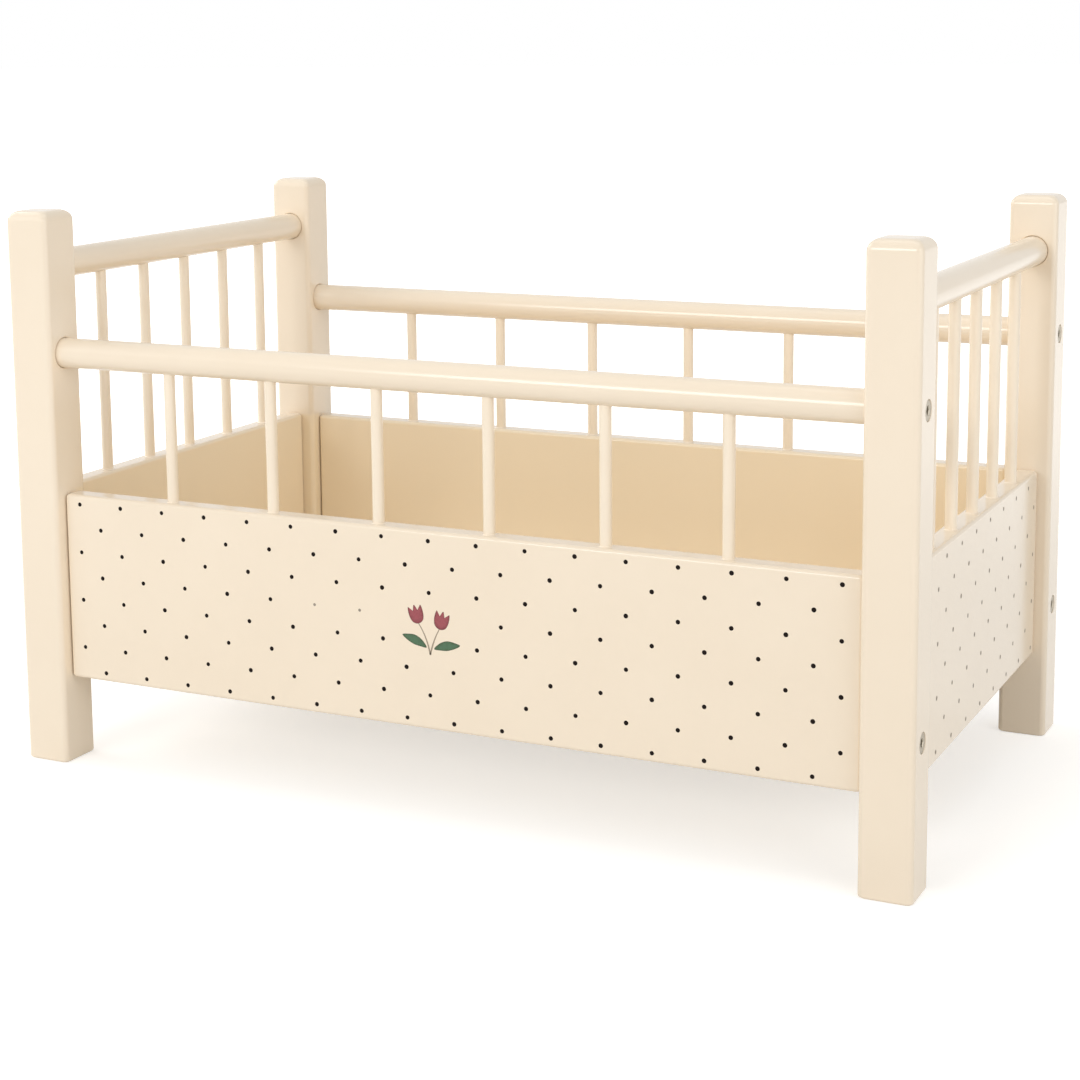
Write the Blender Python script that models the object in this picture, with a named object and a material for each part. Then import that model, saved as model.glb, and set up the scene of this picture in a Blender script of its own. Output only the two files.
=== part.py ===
"""A wooden doll bed: two glued end frames joined by two side frames with connecting screws.

Metres, +Z up. X runs along the bed and Y across it, with the front at -Y. The origin is on the floor, under the
middle of the bed.
"""

import math

import bmesh
import bpy
from mathutils import Matrix, Vector

# Overall sizes
bed_length = 0.494
bed_width = 0.290
bed_height = 0.300

# Posts
post_side = 0.026
post_edge_radius = 0.003
post_top_radius = 0.0055
post_foot_radius = 0.0015

# Rails, and how far their axes lie below the tops of the posts
rail_diameter = 0.016
side_rail_drop = 0.076
end_rail_drop = 0.030
rail_seat_depth = 0.008

# Spindles, and the space from a post's face to the axis of the first one
spindle_diameter = 0.006
spindle_head_depth = 0.005
spindle_foot_depth = 0.008
side_spindle_count = 6
side_spindle_margin = 0.0665
end_spindle_count = 5
end_spindle_margin = 0.0382

# Panels
panel_thickness = 0.012
panel_rise = 0.047
side_panel_height = 0.1013
end_panel_height = 0.1033
panel_edge_radius = 0.002
panel_end_gap = 0.0005

# Connecting screws, with a countersunk head and a hex socket
screw_length = 0.050
screw_thread_diameter = 0.005
screw_head_diameter = 0.0095
screw_head_depth = 0.0032
screw_head_rim = 0.0006
screw_socket_width = 0.004
screw_socket_depth = 0.0022
screw_tip_taper = 0.0015
panel_screw_inset = 0.0257

# Dowels
dowel_diameter = 0.006
dowel_length = 0.024
side_dowel_drop = 0.036
end_dowel_inset = 0.013

# Base board, and the cleats that carry it
board_thickness = 0.005
board_edge_radius = 0.0005
board_clearance = 0.0005
cleat_side = 0.010
cleat_inset = 0.003
cleat_edge_radius = 0.001
cleat_end_clearance = 0.0005

# The gap left between touching pieces, and how far a cutter runs out of the wood
fit_gap = 0.0003
overrun = 0.002

# Facets
edge_steps = 3
rail_segments = 24
spindle_segments = 16
screw_segments = 16
dowel_segments = 12
socket_sides = 6
sharp_angle = math.radians(35)

# Places that follow from the sizes
half_post = post_side / 2
post_x = bed_length / 2 - half_post
post_y = bed_width / 2 - half_post
inner_x = post_x - half_post
inner_y = post_y - half_post
side_rail_height = bed_height - side_rail_drop
end_rail_height = bed_height - end_rail_drop
half_panel = panel_thickness / 2
side_panel_top = panel_rise + side_panel_height
end_panel_top = panel_rise + end_panel_height
panel_screw_height = panel_rise + panel_screw_inset
side_dowel_height = side_panel_top - side_dowel_drop
end_dowel_heights = (panel_rise + end_dowel_inset, end_panel_top - end_dowel_inset)
cleat_bottom = panel_rise + cleat_inset
board_bottom = cleat_bottom + cleat_side + fit_gap
rail_radius = rail_diameter / 2
spindle_radius = spindle_diameter / 2
thread_radius = screw_thread_diameter / 2
head_radius = screw_head_diameter / 2
dowel_radius = dowel_diameter / 2
screw_tip_x = bed_length / 2 - screw_length

along_x = Vector((1, 0, 0))
along_y = Vector((0, 1, 0))
along_z = Vector((0, 0, 1))

side_names = {-1: "front", 1: "rear"}
end_names = {-1: "left", 1: "right"}

# Plain finishes: colour, roughness and metallic
cream_paint = ((0.90, 0.79, 0.61), 0.4, 0)
bare_beech = ((0.70, 0.50, 0.30), 0.7, 0)
bright_steel = ((0.55, 0.55, 0.54), 0.35, 1)


def clear_scene():
    """Empties the file that the script runs in."""
    for old in list(bpy.data.objects):
        bpy.data.objects.remove(old, do_unlink=True)


def circle(radius, segments):
    """Points of a circle, anticlockwise, with a flat side at +X."""
    half_turn = math.pi / segments
    turns = [half_turn * (2 * step + 1) for step in range(segments)]
    return [(radius * math.cos(turn), radius * math.sin(turn)) for turn in turns]


def eased_rectangle(half_x, half_y, radius):
    """Points of a rectangle with round corners, anticlockwise."""
    points = []
    corners = ((1, 1), (-1, 1), (-1, -1), (1, -1))
    for quarter, (side_x, side_y) in enumerate(corners):
        for step in range(edge_steps + 1):
            turn = math.pi / 2 * (quarter + step / edge_steps)
            x = side_x * (half_x - radius) + radius * math.cos(turn)
            y = side_y * (half_y - radius) + radius * math.sin(turn)
            points.append((x, y))
    return points


def notched_rectangle(half_x, half_y, notch_x, notch_y):
    """Points of a rectangle with a square notch out of each corner, anticlockwise."""
    short_x = half_x - notch_x
    short_y = half_y - notch_y
    corner = ((half_x, short_y), (short_x, short_y), (short_x, half_y))
    points = list(corner)
    points += [(-x, y) for x, y in reversed(corner)]
    points += [(-x, -y) for x, y in corner]
    points += [(x, -y) for x, y in reversed(corner)]
    return points


def eased_levels(low, high, low_radius, high_radius):
    """Heights up a block, each with the inset of its outline, for round lower and upper edges."""
    turns = [math.pi / 2 * step / edge_steps for step in range(edge_steps + 1)]
    insets = [1 - math.sin(turn) for turn in turns]
    rises = [1 - math.cos(turn) for turn in turns]
    lower = [(low + low_radius * rise, low_radius * inset) for rise, inset in zip(rises, insets)]
    upper = [(high - high_radius * rise, high_radius * inset) for rise, inset in zip(rises, insets)]
    return lower + upper[::-1]


def skin(mesh, rings):
    """Closes a stack of outlines, each with the same number of points, into one solid."""
    count = len(rings[0])
    verts = [[mesh.verts.new(point) for point in ring] for ring in rings]
    for below, above in zip(verts, verts[1:]):
        for here in range(count):
            there = (here + 1) % count
            mesh.faces.new((below[here], below[there], above[there], above[here]))
    mesh.faces.new(verts[0][::-1])
    mesh.faces.new(verts[-1])


def add_block(mesh, half_x, half_y, levels, edge_radius):
    """Adds an upright block whose outline draws in by each level's inset."""
    rings = []
    for height, inset in levels:
        outline = eased_rectangle(half_x - inset, half_y - inset, edge_radius)
        rings.append([(x, y, height) for x, y in outline])
    skin(mesh, rings)


def add_turned(mesh, profile, segments, start, direction):
    """Adds a round solid: profile lists its radius at each distance from start, along direction."""
    turn = direction.to_track_quat("Z", "Y").to_matrix().to_4x4()
    place = Matrix.Translation(Vector(start)) @ turn
    rings = []
    for distance, radius in profile:
        rings.append([place @ Vector((x, y, distance)) for x, y in circle(radius, segments)])
    skin(mesh, rings)


def add_bore(mesh, radius, segments, mouth, inward, depth):
    """Adds the cutter of a plain round hole, from outside its mouth down to its depth."""
    profile = ((-overrun, radius), (depth, radius))
    add_turned(mesh, profile, segments, mouth, inward)


def make_finish(name, colour, roughness, metallic):
    """A plain finish for one piece."""
    finish = bpy.data.materials.new(name + "_finish")
    finish.use_nodes = True
    shader = finish.node_tree.nodes["Principled BSDF"]
    shader.inputs["Base Color"].default_value = (*colour, 1)
    shader.inputs["Roughness"].default_value = roughness
    shader.inputs["Metallic"].default_value = metallic
    finish.diffuse_color = (*colour, 1)
    return finish


def make_object(name, mesh, place):
    """Turns finished mesh work into an object at its place."""
    data = bpy.data.meshes.new(name)
    mesh.to_mesh(data)
    mesh.free()
    made = bpy.data.objects.new(name, data)
    made.location = place
    bpy.context.scene.collection.objects.link(made)
    return made


def make_piece(name, mesh, place, look=cream_paint):
    """Makes one piece of the bed, with its finish, under the bed's own empty."""
    piece = make_object(name, mesh, place)
    piece.data.materials.append(make_finish(name, *look))
    piece.data.shade_smooth()
    piece.data.set_sharp_from_angle(angle=sharp_angle)
    piece.parent = bpy.data.objects["doll_bed"]
    return piece


def bore_piece(piece, mesh):
    """Cuts the holes in mesh, drawn about the piece's own origin, out of a piece."""
    cutter = make_object(piece.name + "_bores", mesh, piece.location)
    cutter.hide_render = True
    cutter.display_type = "WIRE"
    cutter.parent = piece.parent
    cut = piece.modifiers.new("bores", "BOOLEAN")
    cut.operation = "DIFFERENCE"
    cut.solver = "EXACT"
    cut.object = cutter


def spindle_places(inner, margin, count):
    """Distances of the spindles' axes from the middle of their frame."""
    first = -inner + margin
    pitch = -2 * first / (count - 1)
    return [first + pitch * step for step in range(count)]


def make_post(end, side):
    """A corner post with the seats of both rails, both screws' holes and the dowels' holes."""
    name = f"post_{side_names[side]}_{end_names[end]}"
    mesh = bmesh.new()
    levels = eased_levels(0, bed_height, post_foot_radius, post_top_radius)
    add_block(mesh, half_post, half_post, levels, post_edge_radius)
    post = make_piece(name, mesh, (end * post_x, side * post_y, 0))

    bores = bmesh.new()
    outward_x = end * along_x
    outward_y = side * along_y
    side_face = -end * half_post
    end_face = -side * half_post
    seat_radius = rail_radius + fit_gap
    seat_depth = rail_seat_depth + fit_gap
    add_bore(bores, seat_radius, rail_segments, (side_face, 0, side_rail_height), outward_x, seat_depth)
    add_bore(bores, seat_radius, rail_segments, (0, end_face, end_rail_height), outward_y, seat_depth)

    outer_face = end * half_post
    rail_reach = post_side - rail_seat_depth + overrun
    panel_reach = post_side + overrun
    for height, reach in ((side_rail_height, rail_reach), (panel_screw_height, panel_reach)):
        profile = screw_hole_profile(reach)
        add_turned(bores, profile, screw_segments, (outer_face, 0, height), -outward_x)

    hole_radius = dowel_radius + fit_gap
    hole_depth = dowel_length / 2 + fit_gap
    side_hole = (side_face, 0, side_dowel_height)
    add_bore(bores, hole_radius, dowel_segments, side_hole, outward_x, hole_depth)
    for height in end_dowel_heights:
        add_bore(bores, hole_radius, dowel_segments, (0, end_face, height), outward_y, hole_depth)
    bore_piece(post, bores)


def screw_hole_profile(reach):
    """A countersunk hole that clears a connecting screw all round, drawn inward from the post's face."""
    wide = head_radius + fit_gap
    narrow = thread_radius + fit_gap
    rim = screw_head_rim + fit_gap
    return ((-overrun, wide), (rim, wide), (screw_head_depth + fit_gap, narrow), (reach, narrow))


def make_side_rail(side):
    """A round rail between two posts, with holes for its spindles below and its screws at the ends."""
    half_length = inner_x + rail_seat_depth
    place = Vector((0, side * post_y, side_rail_height))
    rail = make_rail(f"side_rail_{side_names[side]}", place, along_x, half_length)

    bores = bmesh.new()
    for x in spindle_places(inner_x, side_spindle_margin, side_spindle_count):
        add_spindle_seat(bores, (x, 0, -rail_radius))
    add_pilot_holes(bores, half_length, half_length - screw_tip_x, 0)
    bore_piece(rail, bores)


def make_end_rail(end):
    """A round rail between two posts, glued into them, with holes for its spindles below."""
    half_length = inner_y + rail_seat_depth
    place = Vector((end * post_x, 0, end_rail_height))
    rail = make_rail(f"end_rail_{end_names[end]}", place, along_y, half_length)

    bores = bmesh.new()
    for y in spindle_places(inner_y, end_spindle_margin, end_spindle_count):
        add_spindle_seat(bores, (0, y, -rail_radius))
    bore_piece(rail, bores)


def make_rail(name, place, direction, half_length):
    """A plain round rail, centred on its place."""
    mesh = bmesh.new()
    profile = ((-half_length, rail_radius), (half_length, rail_radius))
    add_turned(mesh, profile, rail_segments, (0, 0, 0), direction)
    return make_piece(name, mesh, place)


def add_spindle_seat(mesh, mouth):
    """Adds the hole in a rail's underside that takes a spindle's head."""
    depth = spindle_head_depth + fit_gap
    add_bore(mesh, spindle_radius + fit_gap, spindle_segments, mouth, along_z, depth)


def add_pilot_holes(mesh, half_length, depth, height):
    """Adds the hole in each end of a rail or panel that takes a connecting screw."""
    for end in (-1, 1):
        mouth = (end * half_length, 0, height)
        radius = thread_radius + fit_gap
        add_bore(mesh, radius, screw_segments, mouth, -end * along_x, depth + fit_gap)


def make_side_panel(side):
    """A side panel, with holes for the spindles' feet above and for screws and dowels at its ends."""
    half_length = inner_x - panel_end_gap
    name = f"side_panel_{side_names[side]}"
    panel = make_panel(name, (0, side * post_y, 0), half_length, half_panel, side_panel_top)

    bores = bmesh.new()
    for x in spindle_places(inner_x, side_spindle_margin, side_spindle_count):
        add_foot_hole(bores, (x, 0, side_panel_top))
    add_pilot_holes(bores, half_length, half_length - screw_tip_x, panel_screw_height)
    depth = dowel_length / 2 - panel_end_gap + fit_gap
    for end in (-1, 1):
        mouth = (end * half_length, 0, side_dowel_height)
        add_bore(bores, dowel_radius + fit_gap, dowel_segments, mouth, -end * along_x, depth)
    bore_piece(panel, bores)


def make_end_panel(end):
    """An end panel, with holes for the spindles' feet above and for two dowels at each end."""
    half_length = inner_y - panel_end_gap
    name = f"end_panel_{end_names[end]}"
    panel = make_panel(name, (end * post_x, 0, 0), half_panel, half_length, end_panel_top)

    bores = bmesh.new()
    for y in spindle_places(inner_y, end_spindle_margin, end_spindle_count):
        add_foot_hole(bores, (0, y, end_panel_top))
    depth = dowel_length / 2 - panel_end_gap + fit_gap
    for side in (-1, 1):
        for height in end_dowel_heights:
            mouth = (0, side * half_length, height)
            add_bore(bores, dowel_radius + fit_gap, dowel_segments, mouth, -side * along_y, depth)
    bore_piece(panel, bores)


def make_panel(name, place, half_x, half_y, top):
    """A panel with all its edges eased, from the panels' common underside up to its top."""
    mesh = bmesh.new()
    levels = eased_levels(panel_rise, top, panel_edge_radius, panel_edge_radius)
    add_block(mesh, half_x, half_y, levels, panel_edge_radius)
    return make_piece(name, mesh, place)


def add_foot_hole(mesh, mouth):
    """Adds the hole in a panel's top that takes a spindle's foot."""
    depth = spindle_foot_depth + fit_gap
    add_bore(mesh, spindle_radius + fit_gap, spindle_segments, mouth, -along_z, depth)


def make_spindle(name, x, y, panel_top, rail_height):
    """A spindle from its hole in a panel up to its hole in a rail."""
    foot = panel_top - spindle_foot_depth
    head = rail_height - rail_radius + spindle_head_depth
    mesh = bmesh.new()
    profile = ((0, spindle_radius), (head - foot, spindle_radius))
    add_turned(mesh, profile, spindle_segments, (0, 0, 0), along_z)
    make_piece(name, mesh, (x, y, foot))


def make_spindles():
    """All the spindles, numbered from the left along the sides and from the front along the ends."""
    for side, side_name in side_names.items():
        places = spindle_places(inner_x, side_spindle_margin, side_spindle_count)
        for number, x in enumerate(places, 1):
            name = f"side_spindle_{side_name}_{number}"
            make_spindle(name, x, side * post_y, side_panel_top, side_rail_height)
    for end, end_name in end_names.items():
        places = spindle_places(inner_y, end_spindle_margin, end_spindle_count)
        for number, y in enumerate(places, 1):
            name = f"end_spindle_{end_name}_{number}"
            make_spindle(name, end * post_x, y, end_panel_top, end_rail_height)


def make_screw(name, place, inward):
    """A connecting screw, its countersunk head level with the post's face and its socket facing out."""
    mesh = bmesh.new()
    profile = (
        (0, head_radius),
        (screw_head_rim, head_radius),
        (screw_head_depth, thread_radius),
        (screw_length - screw_tip_taper, thread_radius),
        (screw_length, thread_radius - screw_tip_taper),
    )
    add_turned(mesh, profile, screw_segments, (0, 0, 0), inward)
    screw = make_piece(name, mesh, place, look=bright_steel)

    socket = bmesh.new()
    socket_radius = screw_socket_width / 2 / math.cos(math.pi / socket_sides)
    add_bore(socket, socket_radius, socket_sides, (0, 0, 0), inward, screw_socket_depth)
    bore_piece(screw, socket)


def make_screws():
    """Two screws through each post, into the side rail and into the side panel."""
    for end, end_name in end_names.items():
        for side, side_name in side_names.items():
            face = (end * bed_length / 2, side * post_y)
            inward = -end * along_x
            corner = f"{side_name}_{end_name}"
            make_screw(f"rail_screw_{corner}", (*face, side_rail_height), inward)
            make_screw(f"panel_screw_{corner}", (*face, panel_screw_height), inward)


def make_dowel(name, place, direction):
    """A wooden dowel, half in a post and half in a panel's end, centred on its place."""
    mesh = bmesh.new()
    profile = ((-dowel_length / 2, dowel_radius), (dowel_length / 2, dowel_radius))
    add_turned(mesh, profile, dowel_segments, (0, 0, 0), direction)
    make_piece(name, mesh, place, look=bare_beech)


def make_dowels():
    """One dowel at each end of a side panel and two at each end of an end panel."""
    for end, end_name in end_names.items():
        for side, side_name in side_names.items():
            corner = f"{side_name}_{end_name}"
            place = (end * inner_x, side * post_y, side_dowel_height)
            make_dowel(f"side_dowel_{corner}", place, along_x)
            for level, height in zip(("lower", "upper"), end_dowel_heights):
                place = (end * post_x, side * inner_y, height)
                make_dowel(f"end_dowel_{corner}_{level}", place, along_y)


def make_cleats():
    """A cleat along the inside of each side panel."""
    half_length = inner_x - cleat_end_clearance
    half_side = cleat_side / 2
    y = post_y - half_panel - fit_gap - half_side
    for side, side_name in side_names.items():
        mesh = bmesh.new()
        levels = eased_levels(0, cleat_side, cleat_edge_radius, cleat_edge_radius)
        add_block(mesh, half_length, half_side, levels, cleat_edge_radius)
        make_piece(f"cleat_{side_name}", mesh, (0, side * y, cleat_bottom))


def make_base_board():
    """The board that carries the mattress, notched round the posts."""
    reach_x = post_x - half_panel - board_clearance
    reach_y = post_y - half_panel - board_clearance
    notch_x = reach_x - inner_x + board_clearance
    notch_y = reach_y - inner_y + board_clearance
    mesh = bmesh.new()
    rings = []
    for height, inset in eased_levels(0, board_thickness, board_edge_radius, board_edge_radius):
        outline = notched_rectangle(reach_x - inset, reach_y - inset, notch_x, notch_y)
        rings.append([(x, y, height) for x, y in outline])
    skin(mesh, rings)
    make_piece("base_board", mesh, (0, 0, board_bottom))


def make_bed():
    """The whole bed, piece by piece."""
    clear_scene()
    bed = bpy.data.objects.new("doll_bed", None)
    bpy.context.scene.collection.objects.link(bed)
    for end in end_names:
        for side in side_names:
            make_post(end, side)
    for side in side_names:
        make_side_rail(side)
        make_side_panel(side)
    for end in end_names:
        make_end_rail(end)
        make_end_panel(end)
    make_spindles()
    make_screws()
    make_dowels()
    make_cleats()
    make_base_board()


make_bed()
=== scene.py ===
# %% [markdown]
# # A wooden doll bed in cream satin paint
# The bed stands about 30 cm high. Four square posts carry round rails, thin spindles and solid panels, and the outer
# faces of the panels are printed with small dark dots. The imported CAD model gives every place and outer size. This
# script builds a finer mesh for each wooden piece and each screw, and gives it a finish.

# %% Load the CAD model
import math

import bmesh
import bpy
from mathutils import Matrix, Vector


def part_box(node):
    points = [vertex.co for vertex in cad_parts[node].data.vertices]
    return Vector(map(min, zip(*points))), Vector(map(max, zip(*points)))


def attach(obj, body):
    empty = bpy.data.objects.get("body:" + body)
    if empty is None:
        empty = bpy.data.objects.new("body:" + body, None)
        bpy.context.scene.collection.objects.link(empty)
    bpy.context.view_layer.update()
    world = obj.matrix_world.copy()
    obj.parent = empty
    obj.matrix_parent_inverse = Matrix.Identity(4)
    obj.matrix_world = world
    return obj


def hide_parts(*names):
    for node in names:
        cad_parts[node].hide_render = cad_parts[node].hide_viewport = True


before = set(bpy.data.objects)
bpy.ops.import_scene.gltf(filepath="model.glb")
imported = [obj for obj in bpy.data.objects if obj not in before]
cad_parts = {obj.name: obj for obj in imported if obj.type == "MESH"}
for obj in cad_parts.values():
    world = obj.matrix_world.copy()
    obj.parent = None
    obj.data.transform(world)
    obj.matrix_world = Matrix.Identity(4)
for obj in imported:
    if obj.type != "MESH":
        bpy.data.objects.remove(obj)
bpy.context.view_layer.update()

scene = bpy.context.scene
scene.view_settings.view_transform = "Standard"

# %% [markdown]
# ## The camera
# The photograph was taken from a little above the bed and to its right. Its upright lines hardly converge although
# the camera looks down on the bed, which is what a cropped or shifted lens does. So the camera here has a small shift
# as well as a place and a direction. All of them were fitted to the edges and the printed dots in the photograph.

# %% Place the camera
camera_place = Vector((0.5003, -1.0655, 0.3911))
camera_turn = 0.46927
camera_tilt = -0.14899
camera_roll = -0.01265
image_width = 1080
focal_pixels = 2195
centre_left_pixels = 60
centre_up_pixels = 180

camera_data = bpy.data.cameras.new("camera")
camera_data.sensor_width = 36
camera_data.lens = focal_pixels / image_width * camera_data.sensor_width
camera_data.shift_x = centre_left_pixels / image_width
camera_data.shift_y = -centre_up_pixels / image_width
camera = bpy.data.objects.new("camera", camera_data)
scene.collection.objects.link(camera)
aim_up = Matrix.Rotation(math.pi / 2 + camera_tilt, 4, "X")
aim_round = Matrix.Rotation(camera_turn, 4, "Z")
aim_roll = Matrix.Rotation(camera_roll, 4, "Z")
camera.matrix_world = Matrix.Translation(camera_place) @ aim_round @ aim_up @ aim_roll
scene.camera = camera
print("lens", round(camera_data.lens, 1), "mm")

# %% [markdown]
# ## Nodes by hand
# Shader nodes are made and wired in the same way again and again, so two small helpers do both. They take the node's
# own settings, and a value or a wire for each of its inputs.

# %% Helpers for nodes and colours
def feed(tree, node, inputs):
    """Fills a node's inputs. inputs pairs an input's name or number with a value or with another node's output."""
    for socket, value in inputs:
        if isinstance(value, bpy.types.NodeSocket):
            tree.links.new(value, node.inputs[socket])
        else:
            node.inputs[socket].default_value = value


def add_node(tree, kind, inputs=(), **settings):
    """Adds a node with its settings and its inputs."""
    made = tree.nodes.new("ShaderNode" + kind)
    for name, value in settings.items():
        setattr(made, name, value)
    feed(tree, made, inputs)
    return made


def colour(red, green, blue):
    """A colour as it is picked on a screen, from 0 to 255, turned into Blender's linear light."""
    channels = [channel / 255 for channel in (red, green, blue)]
    return (*[c / 12.92 if c <= 0.04045 else ((c + 0.055) / 1.055) ** 2.4 for c in channels], 1)


print("mid grey in linear light is", round(colour(128, 128, 128)[0], 3))

# %% [markdown]
# ## The studio
# The bed is shown on plain white. The world lights it softly from all round, and looks pure white where the camera,
# a reflection or glass sees it. The floor is partly lit by the lamps and partly white by itself, and the white part
# grows away from the bed. So the bed keeps a soft shadow, the far floor melts into the background, and no extra
# light falls on the paint.

# %% The world and the floor
plain_white = (1, 1, 1, 1)
plain_black = (0, 0, 0, 1)
world_light = 0.45
floor_colour = colour(229, 228, 226)
near_glow = 0.5
far_glow = 1
shadow_reach = 0.45
glow_reach = 1.3
floor_half_width = 20


def seen_rays(tree):
    """1 for a ray that the camera, a reflection or glass sees, and 0 for a ray that only carries light."""
    path = add_node(tree, "LightPath")
    seen = path.outputs["Is Camera Ray"]
    for ray in ("Is Glossy Ray", "Is Transmission Ray"):
        seen = add_node(tree, "Math", [(0, seen), (1, path.outputs[ray])], operation="MAXIMUM").outputs[0]
    return seen


world = bpy.data.worlds.new("studio")
scene.world = world
world.use_nodes = True
tree = world.node_tree
tree.nodes.clear()
seen = seen_rays(tree)
soft = add_node(tree, "Background", [("Color", plain_white), ("Strength", world_light)])
white = add_node(tree, "Background", [("Color", plain_white), ("Strength", 1)])
both = add_node(tree, "MixShader", [(0, seen), (1, soft.outputs[0]), (2, white.outputs[0])])
add_node(tree, "OutputWorld", [("Surface", both.outputs[0])])

floor_mesh = bmesh.new()
bmesh.ops.create_grid(floor_mesh, x_segments=1, y_segments=1, size=floor_half_width)
floor_data = bpy.data.meshes.new("studio_floor")
floor_mesh.to_mesh(floor_data)
floor_mesh.free()
floor = bpy.data.objects.new("studio_floor", floor_data)
scene.collection.objects.link(floor)

floor_look = bpy.data.materials.new("studio_floor")
floor_look.use_nodes = True
tree = floor_look.node_tree
tree.nodes.clear()
matt = add_node(tree, "BsdfDiffuse", [("Color", floor_colour)])
place = add_node(tree, "TexCoord").outputs["Object"]
distance = add_node(tree, "VectorMath", [(0, place)], operation="LENGTH").outputs["Value"]
own_glow = add_node(
    tree, "MapRange",
    [("Value", distance), ("From Min", shadow_reach), ("From Max", glow_reach), ("To Min", near_glow),
     ("To Max", far_glow)],
    interpolation_type="SMOOTHSTEP",
)
glow_share = add_node(tree, "Math", [(0, seen_rays(tree)), (1, own_glow.outputs[0])], operation="MULTIPLY")
glow = add_node(tree, "Emission", [("Color", plain_white), ("Strength", glow_share.outputs[0])])
both = add_node(tree, "AddShader", [(0, matt.outputs[0]), (1, glow.outputs[0])])
add_node(tree, "OutputMaterial", [("Surface", both.outputs[0])])
floor_data.materials.append(floor_look)
print("floor and world made")

# %% [markdown]
# ## The lamps
# Five soft lamps light the bed. The one in front gives the round rails their long highlight: it hangs to the left
# of the camera, so the highlight fades towards the rails' left ends. Two on the left make the left posts the
# brightest, and a very large one on the right lights the posts' right faces. A weak one above fills the inside. The
# camera doesn't see the lamps, so only their light and their reflections show.

# %% Five soft lamps
def add_lamp(name, place, width, height, power):
    """A soft lamp that faces the middle of the bed."""
    data = bpy.data.lights.new(name, "AREA")
    data.shape = "RECTANGLE"
    data.size = width
    data.size_y = height
    data.energy = power
    lamp = bpy.data.objects.new(name, data)
    lamp.location = place
    lamp.rotation_euler = (bed_middle - Vector(place)).to_track_quat("-Z", "Y").to_euler()
    lamp.visible_camera = False
    scene.collection.objects.link(lamp)
    print(name, power, "W at", place)


bed_middle = Vector((0, 0, 0.15))
add_lamp("front_lamp", (-0.74, -2.6, 1.13), 1.3, 0.7, 22)
add_lamp("left_lamp", (-2.3, -1.5, 1.1), 1.8, 1.8, 10)
add_lamp("high_lamp", (-2.4, 0.2, 1.7), 1.5, 1.5, 23)
add_lamp("right_lamp", (2.6, -1.2, 0.9), 2.4, 2.4, 31)
add_lamp("top_lamp", (0.2, 0.1, 1.9), 1.2, 1.2, 4)

# %% [markdown]
# ## Shared effects
# What more than one finish needs is a node group. Sprayed Skin is the faint orange peel of sprayed lacquer with a
# trace of wood grain under it. Cloudy Tone lets a colour drift a little, as it does where the paint lies thicker.
# Inside Box is a mask that is 1 within a box and fades to 0 just outside it. Painted Rim darkens a printed shape
# towards its edge, where wet colour gathers.

# %% A helper that starts a node group
def new_group(name, inputs, output, output_kind):
    """A shader node group with named sockets, its input and output nodes placed."""
    group = bpy.data.node_groups.new(name, "ShaderNodeTree")
    for socket, kind, value in inputs:
        made = group.interface.new_socket(socket, in_out="INPUT", socket_type="NodeSocket" + kind)
        if value is not None:
            made.default_value = value
    group.interface.new_socket(output, in_out="OUTPUT", socket_type="NodeSocket" + output_kind)
    start = group.nodes.new("NodeGroupInput")
    end = group.nodes.new("NodeGroupOutput")
    return group, start.outputs, end.inputs[output]


def use_group(tree, group, inputs):
    """Places a node group in a material."""
    made = tree.nodes.new("ShaderNodeGroup")
    made.node_tree = group
    feed(tree, made, inputs)
    return made.outputs[0]


# %% The Sprayed Skin group
sprayed_skin, given, result = new_group(
    "Sprayed Skin",
    [("Position", "Vector", None), ("Peel Scale", "Float", 500), ("Grain Scale", "Vector", (10, 260, 260)),
     ("Grain Share", "Float", 0.3)],
    "Height", "Float",
)
peel = add_node(
    sprayed_skin, "TexNoise", [("Vector", given["Position"]), ("Scale", given["Peel Scale"]), ("Detail", 1)]
)
stretched = add_node(
    sprayed_skin, "VectorMath", [(0, given["Position"]), (1, given["Grain Scale"])], operation="MULTIPLY"
)
grain = add_node(sprayed_skin, "TexNoise", [("Vector", stretched.outputs[0]), ("Scale", 1), ("Detail", 4)])
height = add_node(
    sprayed_skin, "Mix", [(0, given["Grain Share"]), (2, peel.outputs[0]), (3, grain.outputs[0])], data_type="FLOAT"
)
sprayed_skin.links.new(height.outputs[0], result)
print("made", sprayed_skin.name)

# %% The Cloudy Tone group
cloudy_tone, given, result = new_group(
    "Cloudy Tone",
    [("Position", "Vector", None), ("Colour", "Color", plain_white), ("Thick Colour", "Color", plain_white),
     ("Cloud Scale", "Float", 20), ("Thick Share", "Float", 0.5)],
    "Colour", "Color",
)
cloud = add_node(
    cloudy_tone, "TexNoise", [("Vector", given["Position"]), ("Scale", given["Cloud Scale"]), ("Detail", 3)]
)
share = add_node(cloudy_tone, "Math", [(0, cloud.outputs[0]), (1, given["Thick Share"])], operation="MULTIPLY")
tone = add_node(
    cloudy_tone, "Mix", [(0, share.outputs[0]), (6, given["Colour"]), (7, given["Thick Colour"])], data_type="RGBA"
)
cloudy_tone.links.new(tone.outputs[2], result)
print("made", cloudy_tone.name)

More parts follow.
